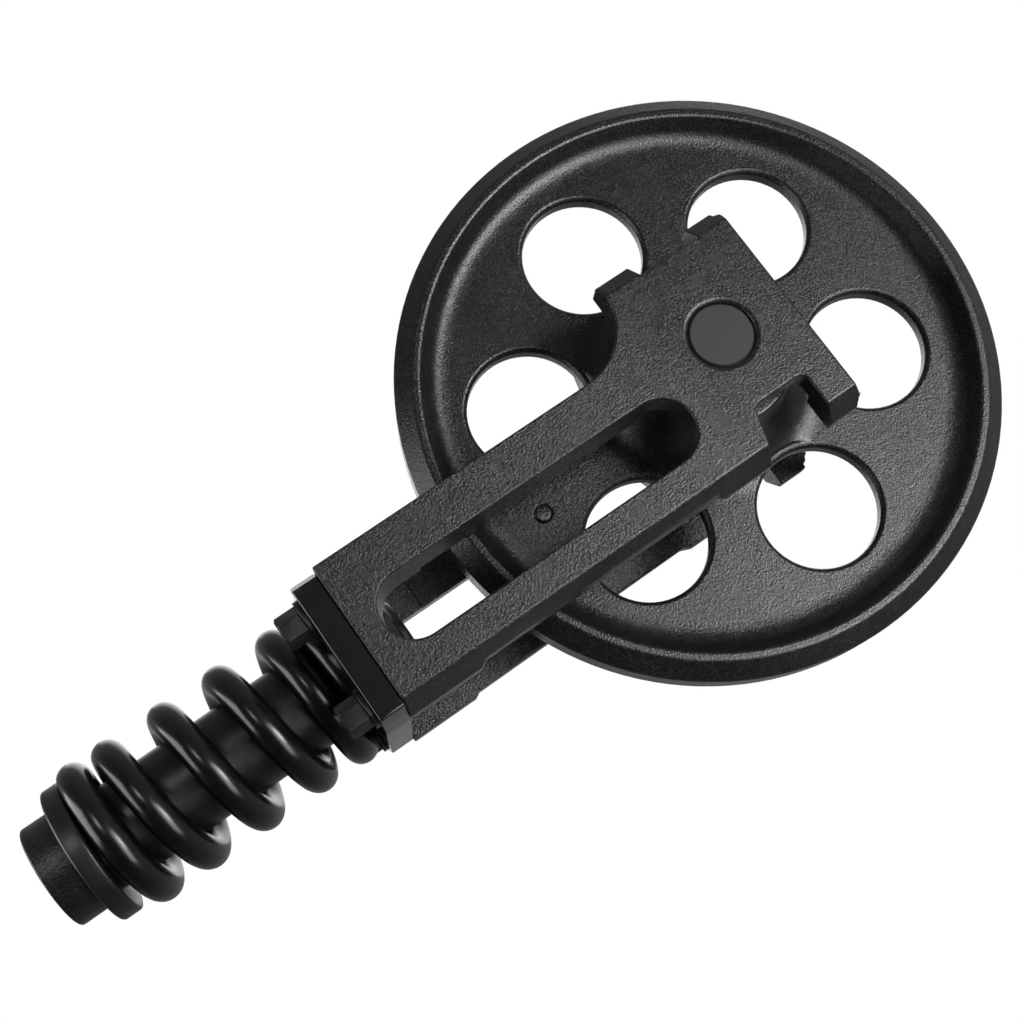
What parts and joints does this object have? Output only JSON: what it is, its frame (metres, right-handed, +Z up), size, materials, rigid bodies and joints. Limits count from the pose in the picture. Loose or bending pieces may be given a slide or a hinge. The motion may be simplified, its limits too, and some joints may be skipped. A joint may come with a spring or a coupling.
{
  "type": "excavator front idler",
  "caption": "Track idler wheel with round lightening holes in a forged yoke, with a coil recoil spring and a grease-adjusted plunger that tensions the track.",
  "frame": {"origin": "centre of the wheel, on the axle axis at the mid-plane", "axes": "+X along the track away from the spring, +Y along the axle, +Z up"},
  "size_m": [0.656, 0.1674, 0.37],
  "materials": {
    "cast_paint": "black paint on a rough casting",
    "forged_paint": "black paint with an orange-peel grain",
    "plate_paint": "black paint, fine grain",
    "spring_paint": "gloss black paint",
    "tube_paint": "gloss black paint",
    "collar_paint": "satin black over turned steel",
    "bolt_steel": "black painted steel",
    "axle_steel": "satin black, smooth turned end",
    "turned_steel": "turned steel",
    "seal_steel": "lapped steel",
    "bronze": "plain bearing bronze",
    "rubber": "matt black rubber",
    "guide_plastic": "bearing tape"
  },
  "bodies": {
    "plunger": {"plunger": "collar_paint", "plunger_seal": "rubber", "plunger_guide_ring": "guide_plastic"},
    "adjuster": {"adjuster_tube": "tube_paint", "rear_collar": "collar_paint", "tube_wiper": "rubber", "stop_washer": "bolt_steel", "retaining_nut": "bolt_steel", "nut_set_screw": "bolt_steel", "grease_valve": "bolt_steel", "grease_nipple": "seal_steel", "recoil_spring": "spring_paint"},
    "yoke": {"side_plate_near": "forged_paint", "side_plate_far": "forged_paint", "end_plate": "plate_paint", "end_plate_bolts": "bolt_steel", "end_plate_washers": "bolt_steel", "end_plate_bush": "bronze", "axle": "axle_steel", "axle_pins": "turned_steel", "axle_o_rings": "rubber", "seal_fixed_near": "seal_steel", "seal_fixed_far": "seal_steel", "rubber_fixed_near": "rubber", "rubber_fixed_far": "rubber"},
    "wheel": {"wheel": "cast_paint", "balance_plug": "turned_steel", "bush_near": "bronze", "bush_far": "bronze", "seal_turning_near": "seal_steel", "seal_turning_far": "seal_steel", "rubber_turning_near": "rubber", "rubber_turning_far": "rubber"}
  },
  "joints": [
    {"name": "grease_adjust", "type": "slide", "parent": "plunger", "child": "adjuster", "axis": [1, 0, 0], "range_m": [0, 0.05]},
    {"name": "recoil", "type": "slide", "parent": "adjuster", "child": "yoke", "axis": [-1, 0, 0], "range_m": [0, 0.03], "stiffness_N_per_m": 540000, "deforming": ["recoil_spring"]},
    {"name": "wheel_spin", "type": "hinge", "parent": "yoke", "child": "wheel", "pos_m": [0, 0, 0], "axis": [0, 1, 0], "continuous": true}
  ]
}
